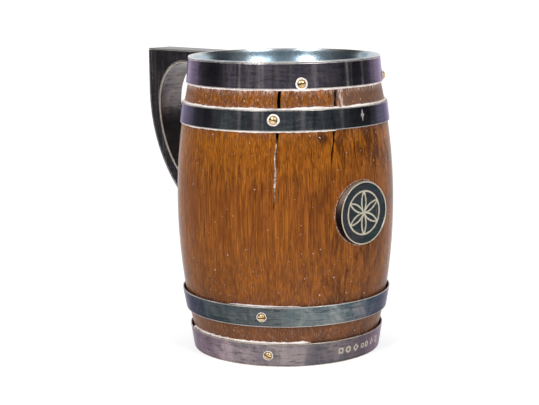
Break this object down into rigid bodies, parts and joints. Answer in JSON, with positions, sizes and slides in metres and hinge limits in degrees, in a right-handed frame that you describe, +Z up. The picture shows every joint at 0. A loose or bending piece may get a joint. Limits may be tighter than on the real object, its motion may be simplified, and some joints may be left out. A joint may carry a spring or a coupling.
{
  "type": "barrel tankard",
  "caption": "Oak drinking tankard shaped like a small barrel, with a metal liner, silver-plated hoops, a hollow D-shaped strap handle and a round front medallion.",
  "frame": {"origin": "centre of the underside, on the barrel's axis, at table level", "axes": "+Z up along the barrel's axis, +Y out along the handle, -Y is the front"},
  "size_m": [0.0998, 0.1391, 0.135],
  "materials": {
    "oak": "old varnished oak, golden to red brown, cracked along the grain",
    "dark_silver": "silver plate tarnished purple grey, brushed",
    "blue_silver": "silver plate tarnished blue green, brushed",
    "liner_silver": "silver plate, bright with a blue tarnish",
    "brass": "worn brass",
    "steel": "plain"
  },
  "bodies": {
    "root": {"oak_barrel": "oak", "oak_base": "oak", "liner_wall": "liner_silver", "liner_bottom": "liner_silver", "rim_band": "dark_silver", "upper_hoop": "blue_silver", "lower_hoop": "blue_silver", "foot_band": "dark_silver", "handle_side_left": "dark_silver", "handle_side_right": "dark_silver", "handle_outer_strap": "dark_silver", "handle_inner_strap": "dark_silver", "handle_top_plate": "dark_silver", "handle_boss": "steel", "handle_screw": "steel", "medallion": "blue_silver", "medallion_pin_1": "steel", "medallion_pin_2": "steel", "rim_screw_1": "brass", "rim_screw_2": "brass", "upper_hoop_screw_1": "brass", "upper_hoop_screw_2": "brass", "upper_hoop_screw_3": "brass", "lower_hoop_screw_1": "brass", "lower_hoop_screw_2": "brass", "lower_hoop_screw_3": "brass", "foot_screw_1": "brass", "foot_screw_2": "brass", "foot_screw_3": "brass"}
  },
  "joints": []
}
